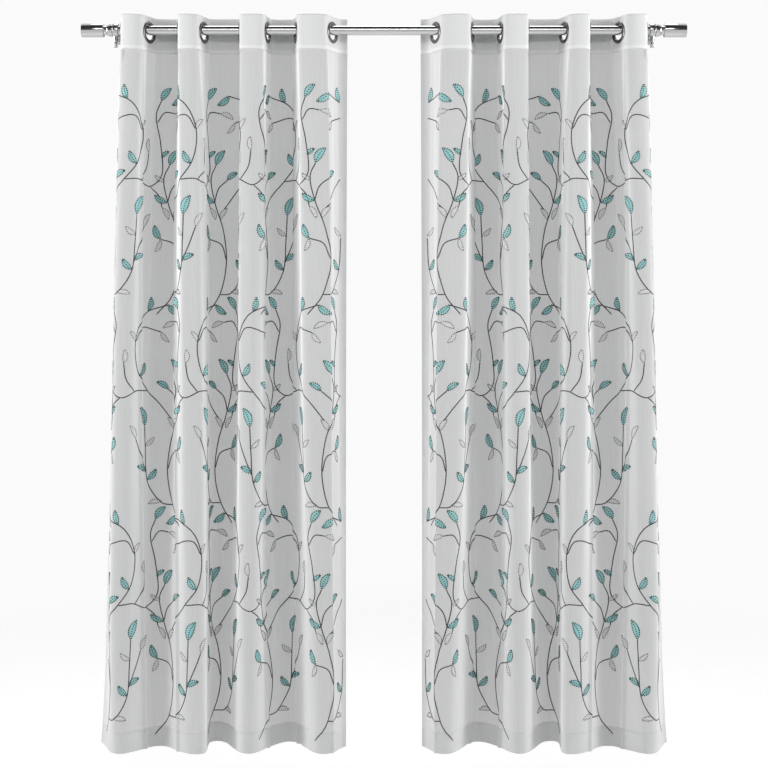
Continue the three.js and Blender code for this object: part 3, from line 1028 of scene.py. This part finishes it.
def leaf_mesh(teal, swell):
    """Leaves of one colour as thin pads through the cloth: points, faces and their own length and width."""
    points, faces, thread = [], [], []
    rows = np.linspace(-1, 1, LEAF_ROWS)
    for line, half, beside in leaf_charts(teal):
        flat = line[:, None, :] + beside[:, None, :] * half[:, None, None] * rows[None, :, None]
        middle = hung(flat[..., 0], flat[..., 1])
        out = facing(hung, flat[..., 0], flat[..., 1])
        long = length_of(line)
        round_across = np.sqrt(np.clip(1 - rows**2, 0, 1))[None, :]
        round_along = np.sqrt(np.clip(half / half.max(), 0, 1))[:, None]
        crown = swell * round_across * round_along
        lengthways = np.linspace(0, long, LEAF_STEPS)[:, None]
        place = np.stack(np.broadcast_arrays(lengthways, np.abs(half[:, None] * rows[None, :])), axis=-1)
        first = len(points)
        for face_way in (1, -1):
            points.extend((middle + out * (crown * face_way)[..., None]).reshape(-1, 3))
            thread.extend(place.reshape(-1, 2))
        back = LEAF_STEPS * LEAF_ROWS
        for step in range(LEAF_STEPS - 1):
            for row in range(LEAF_ROWS - 1):
                at = first + step * LEAF_ROWS + row
                faces.append((at, at + LEAF_ROWS, at + LEAF_ROWS + 1, at + 1))
                faces.append((at + back, at + back + 1, at + back + LEAF_ROWS + 1, at + back + LEAF_ROWS))
    return np.array(points), faces, np.array(thread)


teal_satin = sewing_thread(
    "teal_satin_stitch", (0.240, 0.530, 0.525, 1), (0.410, 0.740, 0.735, 1), SATIN_LAY, 0.3
)
pale_satin = sewing_thread(
    "white_satin_stitch", (0.88, 0.885, 0.88, 1), (0.985, 0.99, 0.985, 1), SATIN_LAY, 0.8, 0.50
)
teal_leaf = leaf_mesh(True, 0.0007)
pale_leaf = leaf_mesh(False, 0.0006)
for side, way in SIDES:
    for name, leaf, satin_stitch, slot in (
        ("teal_leaves", teal_leaf, teal_satin, "leaf_thread"),
        ("white_leaves", pale_leaf, pale_satin, "pale_thread"),
    ):
        leaves = sided_piece(f"{name}_{side}", way, leaf, satin_stitch)
        mended(leaves.data, joined=1e-6, thinnest=1e-7)
        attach(leaves, "root")
        sewn_on[side].append(leaves)

# STITCHES
# A dotted line of dark running stitch goes round each leaf and up the middle of the teal ones. White
# machine stitches hold the heading, the side hems and the bottom hem.
OUTLINE_SPACING = 0.0064
MIDDLE_SPACING = 0.0070
OUTLINE_GROWTH = 0.0002
SEAM_SPACING = 0.0036
SEAM_INSET = 0.003
STITCH_AHEAD = 0.0005
BEAD_SIZES = ("Long", "Wide", "High")
stitching = Tree(
    "stitching",
    [(label, "NodeSocketFloat") for label in BEAD_SIZES] + [("Material", "NodeSocketMaterial")],
)
bead = stitching.node("GeometryNodeMeshIcoSphere", {}, {"Radius": 0.5, "Subdivisions": 1})[0]
bead_size = stitching.node(
    "ShaderNodeCombineXYZ",
    {},
    {axis: stitching.given.outputs[label] for axis, label in zip("XYZ", BEAD_SIZES)},
)[0]
line_way, cloth_way = (
    stitching.node("GeometryNodeInputNamedAttribute", {"data_type": "FLOAT_VECTOR"}, {0: label})["Attribute"]
    for label in ("along", "out")
)
laid = stitching.node("FunctionNodeAlignRotationToVector", {"axis": "X"}, {"Vector": line_way})[0]
laid_flat = stitching.node(
    "FunctionNodeAlignRotationToVector",
    {"axis": "Z", "pivot_axis": "X"},
    {"Rotation": laid, "Vector": cloth_way},
)[0]
stitching.finish(bead, laid_flat, bead_size)


def stitched(name, side, way, rows, sizes, material, slot):
    """Stitches of one size along rows on the flat cloth, each row with its spacing."""
    middles, alongs, outs = [], [], []
    for row, gap in rows:
        spots = evenly(row, max(2, round(length_of(row) / gap) + 1))
        spots = (spots[1:] + spots[:-1]) / 2
        ahead = np.gradient(spots, axis=0) if len(spots) > 1 else np.diff(row[:2], axis=0)
        ahead = ahead / np.linalg.norm(ahead, axis=1, keepdims=True) * STITCH_AHEAD
        here = hung(spots[:, 0], spots[:, 1])
        middles.append(here)
        alongs.append(hung(spots[:, 0] + ahead[:, 0], spots[:, 1] + ahead[:, 1]) - here)
        outs.append(facing(hung, spots[:, 0], spots[:, 1]))
    piece = stitching.grow(
        name,
        mirrored(np.vstack(middles), way),
        {"along": mirrored(np.vstack(alongs), way), "out": mirrored(np.vstack(outs), way)},
        {**dict(zip(BEAD_SIZES, sizes)), "Material": material},
    )
    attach(piece, "root")
    sewn_on[side].append(piece)


def outline_rows(teal):
    """Rows of stitches round every leaf of one colour, and up the middle of the teal ones."""
    rows = []
    for line, half, beside in leaf_charts(teal):
        grown = half + OUTLINE_GROWTH * np.sign(half)
        loop = np.vstack([line + beside * grown[:, None], (line - beside * grown[:, None])[::-1]])
        rows.append((loop, OUTLINE_SPACING))
        if teal:
            rows.append((line[1:-1], MIDDLE_SPACING))
    return rows


def plain_thread(name, colour):
    finish = Finish(bpy.data.materials.new(name))
    place = finish.node("ShaderNodeTexCoord", {}, {}, out="Object")
    twist = finish.noise(place, 900.0, 2.0)
    dark, light = (tuple(share * part for part in colour) + (1,) for share in (0.7, 1.25))
    tone = finish.blend(twist, dark, light)
    shader = finish.principled({"Base Color": tone, "Roughness": 0.5 + twist * 0.2})
    return finish.surface(shader)


deep_teal = plain_thread("deep_teal_thread", (0.012, 0.052, 0.054))
grey_thread = plain_thread("grey_thread", (0.030, 0.031, 0.033))
white_thread = plain_thread("white_thread", (0.72, 0.725, 0.73))
seam_rows = []
for height in (CLOTH_LENGTH - HEM + SEAM_INSET, 0.004):
    seam_rows.append((np.linspace((0.002, height), (FLAT_WIDTH - 0.002, height), 400), SEAM_SPACING))
for across in (SIDE_HEM - SEAM_INSET, FLAT_WIDTH - SIDE_HEM + SEAM_INSET):
    seam_rows.append((np.linspace((across, 0.004), (across, CLOTH_LENGTH - 0.004), 300), SEAM_SPACING))
for side, way in SIDES:
    for name, rows, sizes, material, slot in (
        ("teal_outlines", outline_rows(True), (0.0047, 0.0043, 0.0038), deep_teal, "stem_thread"),
        ("white_outlines", outline_rows(False), (0.0040, 0.0031, 0.0028), grey_thread, "stem_thread"),
        ("hem_stitches", seam_rows, (0.0027, 0.0007, 0.0012), white_thread, "pale_thread"),
    ):
        stitched(f"{name}_{side}", side, way, rows, sizes, material, slot)
    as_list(sewn_on[side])

# STUDIO
# A pale floor under the hems, a white surround, tall soft lights on both sides that leave the backs of
# the folds in shade, and a camera at eye level in front of the curtains.
FLOOR_Z = -2.30
FLOOR_RADIUS = 4.3
FADE_START = 2.5
FADE_END = 4.2
floor_steps = 96
floor_angles = np.arange(floor_steps) * 2 * np.pi / floor_steps
floor_finish = Finish(bpy.data.materials.new("pale_floor"))
floor_place = floor_finish.node("ShaderNodeTexCoord", {}, {}, out="Object")
floor_cloud = floor_finish.noise(floor_place, 3.0, 3.0)
floor_tone = floor_finish.blend(floor_cloud, (0.42, 0.42, 0.42, 1), (0.46, 0.46, 0.46, 1))
camera_ray, glossy_ray = (
    floor_finish.node("ShaderNodeLightPath", {}, {}, out=ray) for ray in ("Is Camera Ray", "Is Glossy Ray")
)
floor_seen = camera_ray.sum("MAXIMUM", camera_ray, glossy_ray)
floor_glow = floor_finish.blend(floor_seen, (0.10, 0.10, 0.10, 1), (0.74, 0.74, 0.74, 1))
floor_light = floor_finish.principled({
    "Base Color": floor_tone,
    "Roughness": 0.9,
    "Specular IOR Level": 0.0,
    "Emission Color": floor_glow,
    "Emission Strength": 1.0,
})
floor_reach = floor_finish.node(
    "ShaderNodeVectorMath", {"operation": "LENGTH"}, {0: floor_place}, out="Value"
)
floor_fade = floor_finish.node(
    "ShaderNodeMapRange",
    {"interpolation_type": "SMOOTHSTEP"},
    {"Value": floor_reach, "From Min": FADE_START, "From Max": FADE_END, "To Min": 0.0, "To Max": 1.0},
)
floor_rim = floor_finish.node("ShaderNodeBsdfTransparent", {}, {})
floor_shader = floor_finish.layer(floor_fade, floor_light, floor_rim)
floor = made_piece(
    "floor",
    [(FLOOR_RADIUS * math.cos(a), FLOOR_RADIUS * math.sin(a), FLOOR_Z) for a in floor_angles],
    [tuple(range(floor_steps))],
    floor_finish.surface(floor_shader),
)

surround = Finish(bpy.data.worlds.new("surround"))
bpy.context.scene.world = surround.owner
look = surround.node("ShaderNodeTexCoord", {}, {}, out="Generated")
look_x, look_y, look_z = (surround.part(look, axis) for axis in "XYZ")
look_aside = surround.node("ShaderNodeMath", {"operation": "ABSOLUTE"}, {0: look_x})
room_side = surround.ramp(look_y, 0.15, -0.35, 0.24, 1.0)
under_ceiling = surround.ramp(look_z, 0.52, 0.64, 1.0, 0.02)
from_sides = surround.ramp(look_aside, 0.25, 0.65, 0.22, 0.84)
room_light = room_side * under_ceiling * from_sides
lit = surround.node("ShaderNodeBackground", {}, {"Color": room_light, "Strength": 1.0})
dark_front = surround.ramp(look_z, -0.12, 0.06) * surround.ramp(look_y, 0.10, -0.12)
shining = surround.node("ShaderNodeBackground", {}, {"Color": 0.85 - dark_front * 0.81, "Strength": 1.0})
seen = surround.node("ShaderNodeBackground", {}, {"Color": (1, 1, 1, 1), "Strength": 0.96})
metal_sees = surround.node("ShaderNodeLightPath", {}, {}, out="Is Glossy Ray")
camera_sees = surround.node("ShaderNodeLightPath", {}, {}, out="Is Camera Ray")
around = surround.layer(metal_sees, lit, shining)
surround.surface(surround.layer(camera_sees, around, seen), "ShaderNodeOutputWorld")


def soft_light(name, place, target, size, watts):
    lamp = bpy.data.lights.new(name, "AREA")
    lamp.shape = "RECTANGLE"
    lamp.size, lamp.size_y = size
    lamp.energy = watts
    holder = placed(name, lamp)
    holder.location = place
    aim = np.array(target) - np.array(place)
    holder.rotation_euler = (
        math.atan2(math.hypot(aim[0], aim[1]), -aim[2]),
        0,
        math.atan2(aim[1], aim[0]) - math.pi / 2,
    )


soft_light("left_softbox", (-3.6, -1.3, 0.15), (-0.4, -0.1, -0.35), (0.9, 2.0), 92)
soft_light("right_softbox", (3.6, -1.3, 0.15), (0.4, -0.1, -0.35), (0.9, 2.0), 92)
soft_light("front_softbox", (0.0, -4.6, 1.5), (0, -0.1, 0.1), (3.0, 1.0), 40)
soft_light("top_softbox", (0.0, 0.9, 2.6), (0, -0.1, 0.0), (3.0, 0.9), 36)

camera = bpy.data.cameras.new("camera")
camera.sensor_width = 36
camera.lens = 64.2
camera.shift_y = -0.109
camera_holder = placed("camera", camera)
camera_holder.location = (0, ROD_AXIS_Y - 4.0, -0.788)
camera_holder.rotation_euler = (math.pi / 2, 0, 0)
bpy.context.scene.camera = camera_holder
bpy.context.scene.view_settings.view_transform = "Standard"
